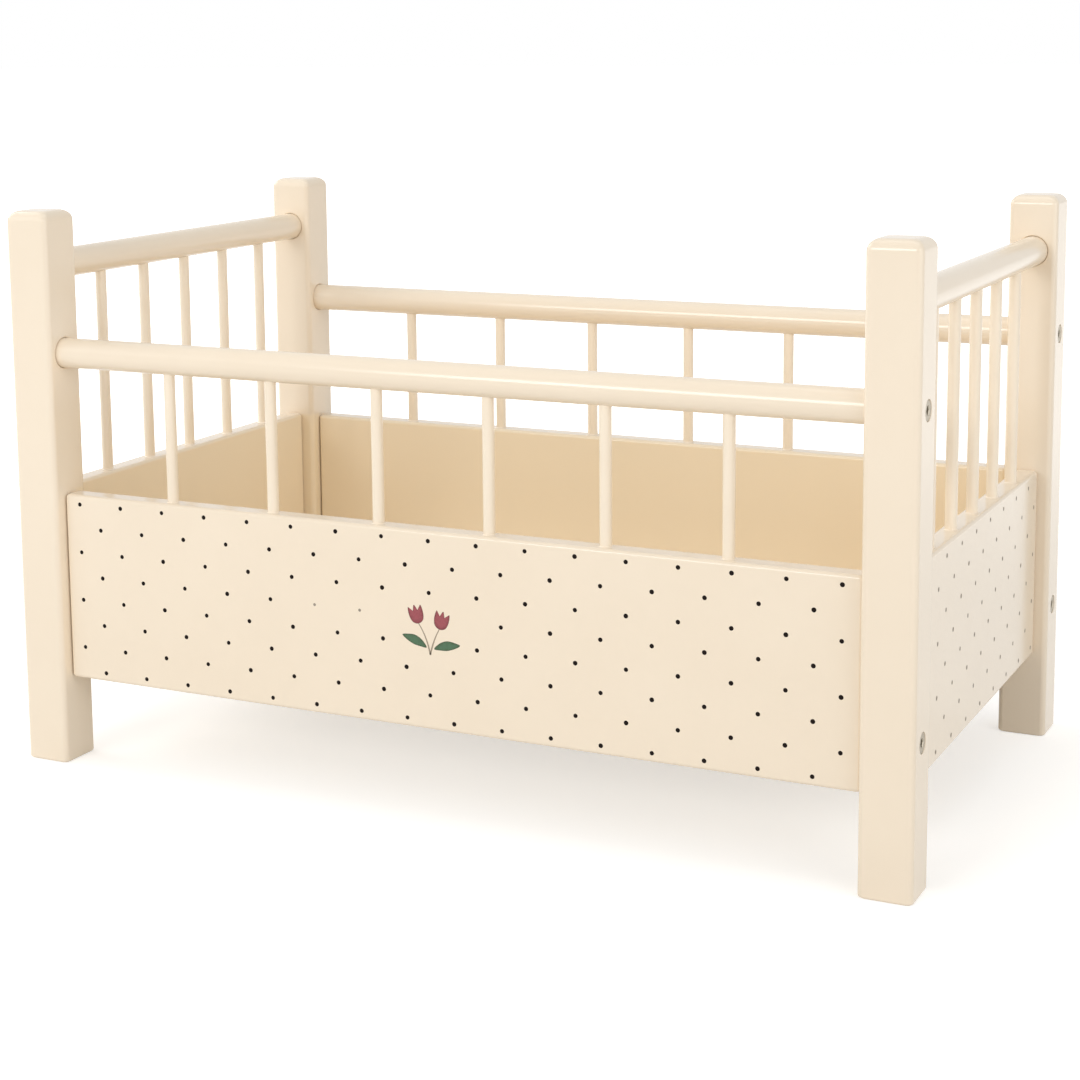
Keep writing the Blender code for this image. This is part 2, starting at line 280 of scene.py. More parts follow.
# %% The Inside Box group
inside_box, given, result = new_group(
    "Inside Box",
    [("Position", "Vector", None), ("Middle", "Vector", (0, 0, 0)), ("Half Size", "Vector", (1, 1, 1)),
     ("Blur", "Float", 0.002)],
    "Mask", "Float",
)
shifted = add_node(
    inside_box, "VectorMath", [(0, given["Position"]), (1, given["Middle"])], operation="SUBTRACT"
).outputs[0]
reach = add_node(inside_box, "VectorMath", [(0, shifted)], operation="ABSOLUTE").outputs[0]
beyond = add_node(inside_box, "VectorMath", [(0, reach), (1, given["Half Size"])], operation="SUBTRACT").outputs[0]
along = add_node(inside_box, "SeparateXYZ", [(0, beyond)]).outputs
furthest = add_node(inside_box, "Math", [(0, along[0]), (1, along[1])], operation="MAXIMUM").outputs[0]
furthest = add_node(inside_box, "Math", [(0, furthest), (1, along[2])], operation="MAXIMUM").outputs[0]
inside = add_node(
    inside_box, "MapRange", [("Value", furthest), ("From Max", given["Blur"]), ("To Min", 1), ("To Max", 0)]
)
inside_box.links.new(inside.outputs[0], result)
print("made", inside_box.name)

# %% The Painted Rim group
rim_start = 0.45
rim_end = 1.4

painted_rim, given, result = new_group(
    "Painted Rim",
    [("Position", "Vector", None), ("Colour", "Color", plain_white), ("Rim Colour", "Color", plain_black),
     ("Rim", "Float", 0), ("Streak Scale", "Float", 900)],
    "Colour", "Color",
)
streak = add_node(
    painted_rim, "TexNoise", [("Vector", given["Position"]), ("Scale", given["Streak Scale"]), ("Detail", 2)]
)
uneven = add_node(painted_rim, "Math", [(0, given["Rim"]), (1, streak.outputs[0])], operation="ADD")
edge = add_node(
    painted_rim, "MapRange", [("Value", uneven.outputs[0]), ("From Min", rim_start), ("From Max", rim_end)]
)
rimmed = add_node(
    painted_rim, "Mix", [(0, edge.outputs[0]), (6, given["Colour"]), (7, given["Rim Colour"])], data_type="RGBA"
)
painted_rim.links.new(rimmed.outputs[2], result)
print("groups:", [group.name for group in bpy.data.node_groups])

# %% [markdown]
# ## Cream satin paint
# The wood is sprayed with a cream lacquer that has a soft, even shine. The colour alone is nearly flat, so the life
# comes from two layers: a dull body colour, and a satin coat over it that mirrors the room at low angles. Inside the
# bed the cream is painted more golden, as painted shade for the light that bounces between its inner faces, and the
# thin spindles are painted paler, as painted light for their bright reflections. The trace of grain runs along each
# piece, so there is one version of the paint for each direction.

# %% The paint's colours and sizes
cream = colour(245, 230, 208)
thick_cream = colour(241, 225, 202)
# painted_shade_cream is painted shade: the golden tone of light bouncing between the bed's inner faces
painted_shade_cream = colour(246, 229, 200)
# painted_light_cream is painted light: it stands in for the spindles' bright reflections
painted_light_cream = colour(250, 237, 216)
paint_roughness = 0.42
body_gloss = 0
coat_share = 1
coat_roughness = 0.18
paint_cloud_scale = 24
skin_depth = 0.000012
fine_grain = 240
long_grain = 9
end_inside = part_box("end_panel_right")[0].x
side_inside, side_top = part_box("side_panel_rear")
painted_shade_middle = (0, 0, (side_inside.z + side_top.z) / 2)
painted_shade_half = (end_inside, side_inside.y, (side_top.z - side_inside.z) / 2)
print("cream in linear light:", [round(channel, 3) for channel in cream[:3]])


# %% Helpers for every finish
def new_finish(name):
    """A material with its tree, shader and object position ready."""
    finish = bpy.data.materials.new(name)
    finish.use_nodes = True
    tree = finish.node_tree
    position = add_node(tree, "TexCoord").outputs["Object"]
    return finish, tree, tree.nodes["Principled BSDF"], position


def spray(tree, shader, position, depth, **sizes):
    """Gives a shader the bump of Sprayed Skin."""
    named = [(name.replace("_", " ").title(), value) for name, value in sizes.items()]
    height = use_group(tree, sprayed_skin, [("Position", position), *named])
    bump = add_node(tree, "Bump", [("Strength", 1), ("Distance", depth), ("Height", height)])
    tree.links.new(bump.outputs[0], shader.inputs["Normal"])


def lacquer(shader, roughness):
    """The satin coat that the paint and the small picture share."""
    shader.inputs["Roughness"].default_value = roughness
    shader.inputs["Specular IOR Level"].default_value = body_gloss
    shader.inputs["Coat Weight"].default_value = coat_share
    shader.inputs["Coat Roughness"].default_value = coat_roughness


# %% The paint, for grain along X, Y and Z
def make_cream(name, axis, outer):
    """Cream paint over wood whose grain runs along one axis, with painted shade that makes it more golden inside the
    bed.
    """
    finish, tree, shader, position = new_finish(name)
    grain_scale = [fine_grain] * 3
    grain_scale[axis] = long_grain
    # The Inside Box mask places painted shade: within the bed the cream turns golden, standing in for bounced light
    inner = use_group(
        tree, inside_box, [("Position", position), ("Middle", painted_shade_middle), ("Half Size", painted_shade_half)]
    )
    painted_shade_colour = add_node(tree, "Mix", [(0, inner), (6, outer), (7, painted_shade_cream)], data_type="RGBA")
    thick_painted_shade_colour = add_node(tree, "Mix", [(0, inner), (6, thick_cream), (7, painted_shade_cream)], data_type="RGBA")
    tone = use_group(
        tree, cloudy_tone,
        [("Position", position), ("Colour", painted_shade_colour.outputs[2]), ("Thick Colour", thick_painted_shade_colour.outputs[2]),
         ("Cloud Scale", paint_cloud_scale), ("Thick Share", 1)],
    )
    tree.links.new(tone, shader.inputs["Base Color"])
    spray(tree, shader, position, skin_depth, grain_scale=grain_scale)
    lacquer(shader, paint_roughness)
    return finish


cream_x, cream_y, cream_z = [make_cream("cream_paint_grain_" + name, axis, cream) for axis, name in enumerate("xyz")]
# The spindles' paler cream is painted light, in place of the bright reflections they catch
spindle_cream_painted_light = make_cream("cream_paint_spindles_painted_light", 2, painted_light_cream)
print("paints:", [finish.name for finish in (cream_x, cream_y, cream_z, spindle_cream_painted_light)])

# %% [markdown]
# ## Screws and bare wood
# The screws are zinc-plated steel gone a little dull, with fine turning marks. The dowels stay inside their holes,
# and are plain beech: pale brown, with dark lines along the grain and short darker flecks.

# %% Zinc
zinc = colour(188, 180, 164)
dull_zinc = colour(160, 152, 138)
zinc_roughness = 0.48
zinc_cloud_scale = 900
scratch_scale = (900, 900, 90)
scratch_share = 0.8
scratch_peel_scale = 2500
scratch_depth = 0.00002

screw_finish, tree, shader, position = new_finish("zinc_plated_steel")
shader.inputs["Metallic"].default_value = 1
shader.inputs["Roughness"].default_value = zinc_roughness
tone = use_group(
    tree, cloudy_tone,
    [("Position", position), ("Colour", zinc), ("Thick Colour", dull_zinc), ("Cloud Scale", zinc_cloud_scale),
     ("Thick Share", 1)],
)
tree.links.new(tone, shader.inputs["Base Color"])
spray(
    tree, shader, position, scratch_depth,
    grain_scale=scratch_scale, grain_share=scratch_share, peel_scale=scratch_peel_scale,
)
print("made", screw_finish.name)

# %% Beech
beech = colour(214, 178, 134)
beech_line = colour(176, 132, 88)
beech_roughness = 0.7
beech_line_scale = (60, 60, 900)
beech_line_start = 0.42
beech_line_end = 0.62
beech_grain_share = 0.9
beech_grain_depth = 0.00004

beech_finish, tree, shader, position = new_finish("bare_beech")
shader.inputs["Roughness"].default_value = beech_roughness
along = add_node(tree, "VectorMath", [(0, position), (1, beech_line_scale)], operation="MULTIPLY")
lines = add_node(tree, "TexNoise", [("Vector", along.outputs[0]), ("Scale", 1), ("Detail", 5)])
dark = add_node(
    tree, "MapRange", [("Value", lines.outputs[0]), ("From Min", beech_line_start), ("From Max", beech_line_end)]
)
wood = add_node(tree, "Mix", [(0, dark.outputs[0]), (6, beech), (7, beech_line)], data_type="RGBA")
tree.links.new(wood.outputs[2], shader.inputs["Base Color"])
spray(tree, shader, position, beech_grain_depth, grain_share=beech_grain_share)
print("made", beech_finish.name)

# %% [markdown]
# ## Printing inks
# The dots are matt ink on the paint, and the small picture has the paint's satin coat over it. Each mesh carries a
# number per vertex: "ink" says how much colour the dot took, and "rim" is 1 at the edge of a printed shape.

# %% The dots' ink
ink_dark = colour(16, 9, 8)
ink_thin = colour(28, 19, 16)
ink_roughness = 0.6
ink_gloss = 0.1
ink_cloud_scale = 1200

dot_ink, tree, shader, position = new_finish("dot_ink")
tone = use_group(
    tree, cloudy_tone,
    [("Position", position), ("Colour", ink_dark), ("Thick Colour", ink_thin), ("Cloud Scale", ink_cloud_scale),
     ("Thick Share", 1)],
)
taken = add_node(tree, "Attribute", attribute_name="ink").outputs["Fac"]
print_tone = add_node(tree, "Mix", [(0, taken), (6, cream), (7, tone)], data_type="RGBA")
tree.links.new(print_tone.outputs[2], shader.inputs["Base Color"])
shader.inputs["Roughness"].default_value = ink_roughness
shader.inputs["Specular IOR Level"].default_value = ink_gloss
print("made", dot_ink.name)

# %% The picture's inks
bloom_colour = colour(158, 72, 80)
bloom_rim = colour(112, 44, 48)
leaf_colour = colour(70, 108, 76)
leaf_rim = colour(54, 74, 40)
stem_colour = colour(160, 144, 124)
stem_rim = colour(120, 100, 84)


def make_ink(name, inside, rim):
    """A printing colour, darker at the rim of each shape."""
    finish, tree, shader, position = new_finish(name)
    rim_number = add_node(tree, "Attribute", attribute_name="rim").outputs["Fac"]
    tone = use_group(
        tree, painted_rim,
        [("Position", position), ("Colour", inside), ("Rim Colour", rim), ("Rim", rim_number)],
    )
    tree.links.new(tone, shader.inputs["Base Color"])
    lacquer(shader, ink_roughness)
    return finish


bloom_ink = make_ink("bloom_ink", bloom_colour, bloom_rim)
leaf_ink = make_ink("leaf_ink", leaf_colour, leaf_rim)
stem_ink = make_ink("stem_ink", stem_colour, stem_rim)
print("inks:", [finish.name for finish in (bloom_ink, leaf_ink, stem_ink)])

# %% [markdown]
# ## Mesh helpers
# Nearly every piece here is a stack of outlines joined by faces, which Blender users call lofting. Round pieces are
# stacks of circles, and square ones are stacks of rounded rectangles. Building the rings in code gives clean quads
# and edges that are rounded by a real radius, so that they catch the light.

# %% Rings and blocks
edge_steps = 6
along_x = Vector((1, 0, 0))
along_y = Vector((0, 1, 0))
along_z = Vector((0, 0, 1))


def skin(mesh, rings):
    """Joins a stack of outlines with the same number of points into one closed body, and returns its vertices."""
    count = len(rings[0])
    verts = [[mesh.verts.new(point) for point in ring] for ring in rings]
    for below, above in zip(verts, verts[1:]):
        for here in range(count):
            there = (here + 1) % count
            mesh.faces.new((below[here], below[there], above[there], above[here]))
    mesh.faces.new(verts[0][::-1])
    mesh.faces.new(verts[-1])
    return verts


def round_rectangle(half_x, half_y, radius):
    """Points of a rectangle with round corners, anticlockwise, about the origin."""
    points = []
    for quarter, (side_x, side_y) in enumerate(((1, 1), (-1, 1), (-1, -1), (1, -1))):
        for step in range(edge_steps + 1):
            turn = math.pi / 2 * (quarter + step / edge_steps)
            x = side_x * (half_x - radius) + radius * math.cos(turn)
            y = side_y * (half_y - radius) + radius * math.sin(turn)
            points.append((x, y))
    return points


def round_levels(low, high, low_radius, high_radius):
    """Heights up a block with the inset of its outline at each, for rounded lower and upper edges."""
    turns = [math.pi / 2 * step / edge_steps for step in range(edge_steps + 1)]
    lower = [(low + low_radius * (1 - math.cos(turn)), low_radius * (1 - math.sin(turn))) for turn in turns]
    upper = [(high - high_radius * (1 - math.cos(turn)), high_radius * (1 - math.sin(turn))) for turn in turns]
    return lower + upper[::-1]


def add_block(mesh, box, edge_radius, low_radius, high_radius):
    """An upright block that fills a box, with rounded upright, lower and upper edges."""
    low, high = box
    centre = (low + high) / 2
    half = (high - low) / 2
    rings = []
    for level, inset in round_levels(low.z, high.z, low_radius, high_radius):
        outline = round_rectangle(half.x - inset, half.y - inset, edge_radius)
        rings.append([(centre.x + x, centre.y + y, level) for x, y in outline])
    skin(mesh, rings)


print("an edge is rounded in", edge_steps, "steps")

# %% Turned shapes
round_steps = 64


def aim(start, direction):
    """A placement that starts at a point and runs along a direction."""
    return Matrix.Translation(start) @ direction.to_track_quat("Z", "Y").to_matrix().to_4x4()


def add_turned(mesh, profile, place, steps=round_steps, shape=None):
    """A turned body. profile pairs a distance along its axis with a radius, and shape changes it by step."""
    rings = []
    for distance, radius in profile:
        ring = []
        for step in range(steps):
            turn = 2 * math.pi * step / steps
            reach = shape(distance, radius, step) if shape else radius
            ring.append(place @ Vector((reach * math.cos(turn), reach * math.sin(turn), distance)))
        rings.append(ring)
    return skin(mesh, rings)


print("a turned body has", round_steps, "sides")

# %% [markdown]
# ## Drilling holes
# The rails and spindles sit in real holes. Each hole is a turned body of its own, and a Boolean modifier takes it out
# of the wood. The mouth of a drilled and painted hole is never sharp, so the hole's profile opens in a small curve
# there, which gives the rail's end the thin ring of shade that the photograph shows.

# %% Holes with rounded mouths
overrun = 0.002
weld_distance = 0.000002
lip_steps = 4


def mouth(radius, lip):
    """The start of a hole's profile: outside the wood, then round the lip and down to its own radius."""
    turns = [math.pi / 2 * step / lip_steps for step in range(lip_steps + 1)]
    curve = [(lip * (1 - math.cos(turn)), radius + lip * (1 - math.sin(turn))) for turn in turns]
    return [(-overrun, radius + lip), *curve]


def drill(wood, holes):
    """Takes the bodies in holes out of wood, and returns the drilled mesh."""
    spares = []
    for mesh in (wood, holes):
        data = bpy.data.meshes.new("spare")
        mesh.to_mesh(data)
        mesh.free()
        spares.append(bpy.data.objects.new("spare", data))
        scene.collection.objects.link(spares[-1])
    cut = spares[0].modifiers.new("drill", "BOOLEAN")
    cut.operation = "DIFFERENCE"
    cut.solver = "EXACT"
    cut.object = spares[1]
    drilled = bmesh.new()
    drilled.from_object(spares[0], bpy.context.evaluated_depsgraph_get())
    bmesh.ops.remove_doubles(drilled, verts=drilled.verts, dist=weld_distance)
    for spare in spares:
        data = spare.data
        bpy.data.objects.remove(spare)
        bpy.data.meshes.remove(data)
    return drilled


print("a hole's mouth is rounded in", lip_steps, "steps")

# %% Pieces that ride on the bed
sharp_angle = math.radians(30)


def make_piece(name, mesh, finish, nodes=()):
    """Turns a mesh into a piece of the bed that rides on its one body and stands for CAD nodes."""
    data = bpy.data.meshes.new(name)
    mesh.to_mesh(data)
    faces = len(mesh.faces)
    mesh.free()
    piece = bpy.data.objects.new(name, data)
    scene.collection.objects.link(piece)
    data.materials.append(finish)
    data.shade_smooth()
    data.set_sharp_from_angle(angle=sharp_angle)
    even = piece.modifiers.new("even_normals", "WEIGHTED_NORMAL")
    even.keep_sharp = True
    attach(piece, "root")
    if nodes:
        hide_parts(*nodes)
    print(name, faces, "faces")


sides = {"front": -1, "rear": 1}
ends = {"left": -1, "right": 1}
print("pieces are named by", *sides, "and", *ends)

# %% [markdown]
# ## The posts
# Each post is a square length of beech with its upright edges eased by a router and its top rounded a little more.
# A rail stops in a shallow seat in each inner face, and two screws pass through from the outer face. The seat and the
# screw's hole share one axis, so one turned body drills both.

# %% The sizes of the joints
post_edge_radius = 0.003
post_top_radius = 0.0055
post_foot_radius = 0.0015
rail_radius = 0.008
rail_gap = 0.0001
rail_lip = 0.0008
seat_depth = 0.0083
screw_radius = 0.0025
screw_gap = 0.0003
screw_head_radius = 0.00475
screw_head_depth = 0.0032
screw_head_rim = 0.0006
screw_lip = 0.0003
dowel_radius = 0.003
dowel_gap = 0.0003
dowel_hole_depth = 0.0123
plain_lip = 0.0002
print("a rail's seat has a radius of", rail_radius + rail_gap, "m")


# %% Four drilled posts
def middle(node):
    """The middle of a CAD node's box."""
    low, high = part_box(node)
    return (low + high) / 2


def add_hole(mesh, start, direction, radius, lip, depth):
    """A plain blind hole with a rounded mouth."""
    add_turned(mesh, [*mouth(radius, lip), (depth, radius)], aim(start, direction))


def head_profile(depth):
    """A countersunk screw hole through a post, read inward from the outer face."""
    hole = screw_radius + screw_gap
    head = screw_head_radius + screw_gap
    return [*mouth(head, screw_lip), (screw_head_rim, head), (screw_head_depth, hole), (depth, hole)]


for side_name, side in sides.items():
    for end_name, end in ends.items():
        corner = f"{side_name}_{end_name}"
        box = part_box("post_" + corner)
        low, high = box
        thickness = high.x - low.x
        centre = (low + high) / 2
        outer_x = high.x if end > 0 else low.x
        inner_x = low.x if end > 0 else high.x
        inner_y = low.y if side > 0 else high.y
        wood = bmesh.new()
        add_block(wood, box, post_edge_radius, post_foot_radius, post_top_radius)

        holes = bmesh.new()
        rail = middle("side_rail_" + side_name)
        seat = rail_radius + rail_gap
        through = [(thickness - distance, radius) for distance, radius in head_profile(thickness - seat_depth)[::-1]]
        profile = [*mouth(seat, rail_lip), (seat_depth, seat), *through]
        add_turned(holes, profile, aim(Vector((inner_x, centre.y, rail.z)), end * along_x))
        screw = middle("panel_screw_" + corner)
        profile = head_profile(thickness + overrun)
        add_turned(holes, profile, aim(Vector((outer_x, centre.y, screw.z)), -end * along_x))
        rail = middle("end_rail_" + end_name)
        add_hole(holes, Vector((centre.x, inner_y, rail.z)), side * along_y, seat, rail_lip, seat_depth)
        peg = middle("side_dowel_" + corner)
        peg_hole = dowel_radius + dowel_gap
        add_hole(holes, Vector((inner_x, centre.y, peg.z)), end * along_x, peg_hole, plain_lip, dowel_hole_depth)
        for level in ("lower", "upper"):
            peg = middle(f"end_dowel_{corner}_{level}")
            add_hole(holes, Vector((centre.x, inner_y, peg.z)), side * along_y, peg_hole, plain_lip, dowel_hole_depth)
        make_piece("post_" + corner, drill(wood, holes), cream_z, ["post_" + corner])

# %% [markdown]
# ## The rails
# A rail is a plain round bar, and what makes it read as turned wood is a true circle with many sides and a small
# chamfer at each end. The holes for the spindles are a close fit, so no dark ring shows where a spindle goes in.
# Extra rings beside each hole keep the long faces around it small, so that the Boolean leaves their shading smooth.

# %% Four rails
rail_steps = 96
rail_chamfer = 0.0006
spindle_radius = 0.003
spindle_fit = 0.00005
spindle_lip = 0.0001
spindle_head_depth = 0.0055
hole_ring_gap = 0.005
pilot_depth = 0.028


def spindle_places(kind, name, count, axis):
    """Where the spindles of one frame stand along it."""
    return [middle(f"{kind}_spindle_{name}_{number}")[axis] for number in range(1, count + 1)]


def make_rail(kind, name, axis, count, finish):
    """A round bar with holes for its spindles below, and for screws in the ends of a side rail."""
    node = f"{kind}_rail_{name}"
    low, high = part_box(node)
    centre = (low + high) / 2
    direction = (along_x, along_y)[axis]
    start = centre.copy()
    start[axis] = low[axis]
    length = high[axis] - low[axis]
    places = spindle_places(kind, name, count, axis)
    rings = [place - low[axis] + shift for place in places for shift in (-hole_ring_gap, hole_ring_gap)]
    profile = [(0, rail_radius - rail_chamfer), (rail_chamfer, rail_radius)]
    profile += [(ring, rail_radius) for ring in rings]
    profile += [(length - rail_chamfer, rail_radius), (length, rail_radius - rail_chamfer)]
    wood = bmesh.new()
    add_turned(wood, profile, aim(start, direction), rail_steps)

    holes = bmesh.new()
    for place in places:
        foot = centre.copy()
        foot[axis] = place
        foot.z = centre.z - rail_radius
        add_hole(holes, foot, along_z, spindle_radius + spindle_fit, spindle_lip, spindle_head_depth)
    if kind == "side":
        for end, reach in ((1, low), (-1, high)):
            tip = centre.copy()
            tip[axis] = reach[axis]
            add_hole(holes, tip, end * direction, screw_radius + screw_gap, plain_lip, pilot_depth)
    make_piece(node, drill(wood, holes), finish, [node])


side_spindles = 6
end_spindles = 5
for side_name in sides:
    make_rail("side", side_name, 0, side_spindles, cream_x)
for end_name in ends:
    make_rail("end", end_name, 1, end_spindles, cream_y)

# %% [markdown]
# ## The panels
# The panels are boards 12 mm thick with every edge eased, so their tops show as a light strip. Their ends stop half a
# millimetre short of the posts, which leaves the fine dark line beside each post. The spindles' feet stand in holes
# along the top, and screws and dowels go into the ends.

# %% Four panels
panel_edge_radius = 0.002
foot_lip = 0.0003
foot_depth = 0.0083


def make_panel(kind, name, axis, count, finish):
    """A board with holes for its spindles, its dowels and, on a side panel, its screws."""
    node = f"{kind}_panel_{name}"
    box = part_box(node)
    low, high = box
    centre = (low + high) / 2
    direction = (along_x, along_y)[axis]
    wood = bmesh.new()
    add_block(wood, box, panel_edge_radius, panel_edge_radius, panel_edge_radius)

    holes = bmesh.new()
    for place in spindle_places(kind, name, count, axis):
        foot = centre.copy()
        foot[axis] = place
        foot.z = high.z
        add_hole(holes, foot, -along_z, spindle_radius + spindle_fit, foot_lip, foot_depth)
    for end, reach in ((1, low), (-1, high)):
        tip = centre.copy()
        tip[axis] = reach[axis]
        if kind == "side":
            tip.z = middle("panel_screw_front_left").z
            add_hole(holes, tip, end * direction, screw_radius + screw_gap, plain_lip, pilot_depth)
            pegs = ["side_dowel_front_left"]
        else:
            pegs = ["end_dowel_front_left_lower", "end_dowel_front_left_upper"]
        for peg in pegs:
            tip.z = middle(peg).z
            add_hole(holes, tip, end * direction, dowel_radius + dowel_gap, plain_lip, dowel_hole_depth)
    make_piece(node, drill(wood, holes), finish, [node])


for side_name in sides:
    make_panel("side", side_name, 0, side_spindles, cream_x)
for end_name in ends:
    make_panel("end", end_name, 1, end_spindles, cream_y)

# %% [markdown]
# ## The spindles
# Thin turned bars run from the panels up to the rails. Paint gathers in a tiny fillet round each foot, so the profile
# swells there before it drops into its hole. Nothing else breaks the bar, so it has few rings.

# %% All the spindles
spindle_steps = 48
fillet_radius = 0.0007
fillet_steps = 5
tip_chamfer = 0.0004


def make_spindle(node, panel):
    """A round bar with a paint fillet where it leaves its panel."""
    low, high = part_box(node)
    centre = (low + high) / 2
    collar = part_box(panel)[1].z - low.z
    turns = [math.pi / 2 * step / fillet_steps for step in range(fillet_steps + 1)]
    fillet = [
        (collar + fillet_radius * (1 - math.cos(turn)), spindle_radius + fillet_radius * (1 - math.sin(turn)))
        for turn in turns
    ]
    length = high.z - low.z
    profile = [(0, spindle_radius - tip_chamfer), (tip_chamfer, spindle_radius), (collar, spindle_radius), *fillet]
    profile += [(length - tip_chamfer, spindle_radius), (length, spindle_radius - tip_chamfer)]
    mesh = bmesh.new()
    add_turned(mesh, profile, aim(Vector((centre.x, centre.y, low.z)), along_z), spindle_steps)
    make_piece(node, mesh, spindle_cream_painted_light, [node])


for side_name in sides:
    for number in range(1, side_spindles + 1):
        make_spindle(f"side_spindle_{side_name}_{number}", "side_panel_" + side_name)
for end_name in ends:
    for number in range(1, end_spindles + 1):
        make_spindle(f"end_spindle_{end_name}_{number}", "end_panel_" + end_name)

# %% [markdown]
# ## The screws
# Eight connecting screws hold the side frames to the posts. Only the countersunk heads show, each with a hex socket,
# but the whole screw is modelled with its thread. One stack of rings does it all: the radius changes with the
# angle for the thread and for the six flats of the socket.

# %% Eight threaded screws
screw_steps = 36
socket_sides = 6
socket_apothem = 0.002
socket_depth = 0.0022
socket_chamfer = 0.0004
socket_floor_radius = 0.0005
thread_pitch = 0.002
thread_depth = 0.0005
rings_per_turn = 4
head_sink = 0.0003
head_break = 0.0002
screw_tip = 0.0015


def thread_reach(distance, radius, step):
    """The radius of the thread at one step round the screw."""
    turn = (distance / thread_pitch - step / screw_steps) % 1
    return radius - thread_depth * abs(2 * turn - 1)


def socket_reach(step):
    """How far a side of the hex socket is from its axis, at one step round."""
    side = 2 * math.pi / socket_sides
    turn = 2 * math.pi * step / screw_steps
    return socket_apothem / math.cos(turn % side - side / 2)


def make_screw(node, end):
    """A countersunk screw with a hex socket, its thread running to the tip."""
    low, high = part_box(node)
    centre = (low + high) / 2
    length = high.x - low.x
    outer = Vector((high.x if end > 0 else low.x, centre.y, centre.z))
    place = aim(outer, -end * along_x)
    thread_start = screw_head_depth + thread_pitch
    thread_rings = int((length - screw_tip - thread_start) / thread_pitch * rings_per_turn)
    rings = []

    def add_ring(distance, reach):
        turns = [2 * math.pi * step / screw_steps for step in range(screw_steps)]
        points = [(reach(step) * math.cos(turn), reach(step) * math.sin(turn)) for step, turn in enumerate(turns)]
        rings.append([place @ Vector((x, y, distance)) for x, y in points])

    add_ring(head_sink + socket_depth + socket_chamfer, lambda step: socket_floor_radius)
    add_ring(head_sink + socket_depth, socket_reach)
    add_ring(head_sink + socket_chamfer, socket_reach)
    add_ring(head_sink, lambda step: socket_reach(step) + socket_chamfer)
    add_ring(head_sink, lambda step: screw_head_radius - head_break)
    add_ring(head_sink + head_break, lambda step: screw_head_radius)
    add_ring(screw_head_rim, lambda step: screw_head_radius)
    add_ring(screw_head_depth, lambda step: screw_radius)
    add_ring(thread_start - thread_pitch / 2, lambda step: screw_radius)
    for ring in range(thread_rings + 1):
        distance = thread_start + ring * thread_pitch / rings_per_turn
        add_ring(distance, lambda step: thread_reach(distance, screw_radius, step))
    add_ring(length, lambda step: screw_radius - screw_tip)

    mesh = bmesh.new()
    skin(mesh, rings)
    make_piece(node, mesh, screw_finish, [node])


for side_name in sides:
    for end_name, end in ends.items():
        for kind in ("rail_screw", "panel_screw"):
            make_screw(f"{kind}_{side_name}_{end_name}", end)

# %% [markdown]
# ## The dowels
# Beech dowels keep the panels in line with the posts. They can't be seen in the finished bed, yet they are part of
# it, so they get the real thing's straight flutes, which let glue and air escape, and its chamfered ends.

# %% Twelve fluted dowels
dowel_steps = 48
flute_depth = 0.0002
dowel_chamfer = 0.0006


def flute(distance, radius, step):
    """Every other step round a dowel lies a little deeper."""
    return radius - flute_depth * (step % 2)


def make_dowel(node, axis):
    """A fluted peg along one axis."""
    low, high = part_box(node)
    start = (low + high) / 2
    length = high[axis] - low[axis]
    start[axis] = low[axis]
    profile = [(0, dowel_radius - dowel_chamfer), (dowel_chamfer, dowel_radius)]
    profile += [(length - dowel_chamfer, dowel_radius), (length, dowel_radius - dowel_chamfer)]
    mesh = bmesh.new()
    add_turned(mesh, profile, aim(start, (along_x, along_y)[axis]), dowel_steps, flute)
    make_piece(node, mesh, beech_finish, [node])


for side_name in sides:
    for end_name in ends:
        make_dowel(f"side_dowel_{side_name}_{end_name}", 0)
        for level in ("lower", "upper"):
            make_dowel(f"end_dowel_{side_name}_{end_name}_{level}", 1)

# %% [markdown]
# ## Inside the bed
# A thin board carries the mattress. It lies on two cleats glued along the side panels, and is notched round the
# posts. It is painted like the rest.

# %% The cleats and the board
cleat_edge_radius = 0.001
board_edge_radius = 0.0008

for side_name in sides:
    node = "cleat_" + side_name
    mesh = bmesh.new()
    add_block(mesh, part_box(node), cleat_edge_radius, cleat_edge_radius, cleat_edge_radius)
    make_piece(node, mesh, cream_x, [node])

board_low, board_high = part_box("base_board")
post_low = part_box("post_rear_right")[0]
notch_gap = 0.0005
notch_x = board_high.x - post_low.x + notch_gap
notch_y = board_high.y - post_low.y + notch_gap


def notched_outline(inset):
    """The board's outline, with a square notch at each corner, drawn in by an inset."""
    far_x = board_high.x - inset
    far_y = board_high.y - inset
    corner = [(far_x, far_y - notch_y), (far_x - notch_x, far_y - notch_y), (far_x - notch_x, far_y)]
    points = list(corner)
    points += [(-x, y) for x, y in corner[::-1]]
    points += [(-x, -y) for x, y in corner]
    points += [(x, -y) for x, y in corner[::-1]]
    return points


rings = []
for level, inset in round_levels(board_low.z, board_high.z, board_edge_radius, board_edge_radius):
    rings.append([(x, y, level) for x, y in notched_outline(inset)])
mesh = bmesh.new()
skin(mesh, rings)
make_piece("base_board", mesh, cream_x, ["base_board"])

# %% [markdown]
# ## The printed dots
# Small dots cover the outer faces in staggered rows. A picture texture would blur them, so each dot is a thin disc
# that stands a few hundredths of a millimetre proud, as thick ink does. The dots on the end panels are mixed paler,
# as painted glare for the sheen on those faces at a low angle. Two dots on the front panel took less ink, and three
# dots are left out where the little picture goes.

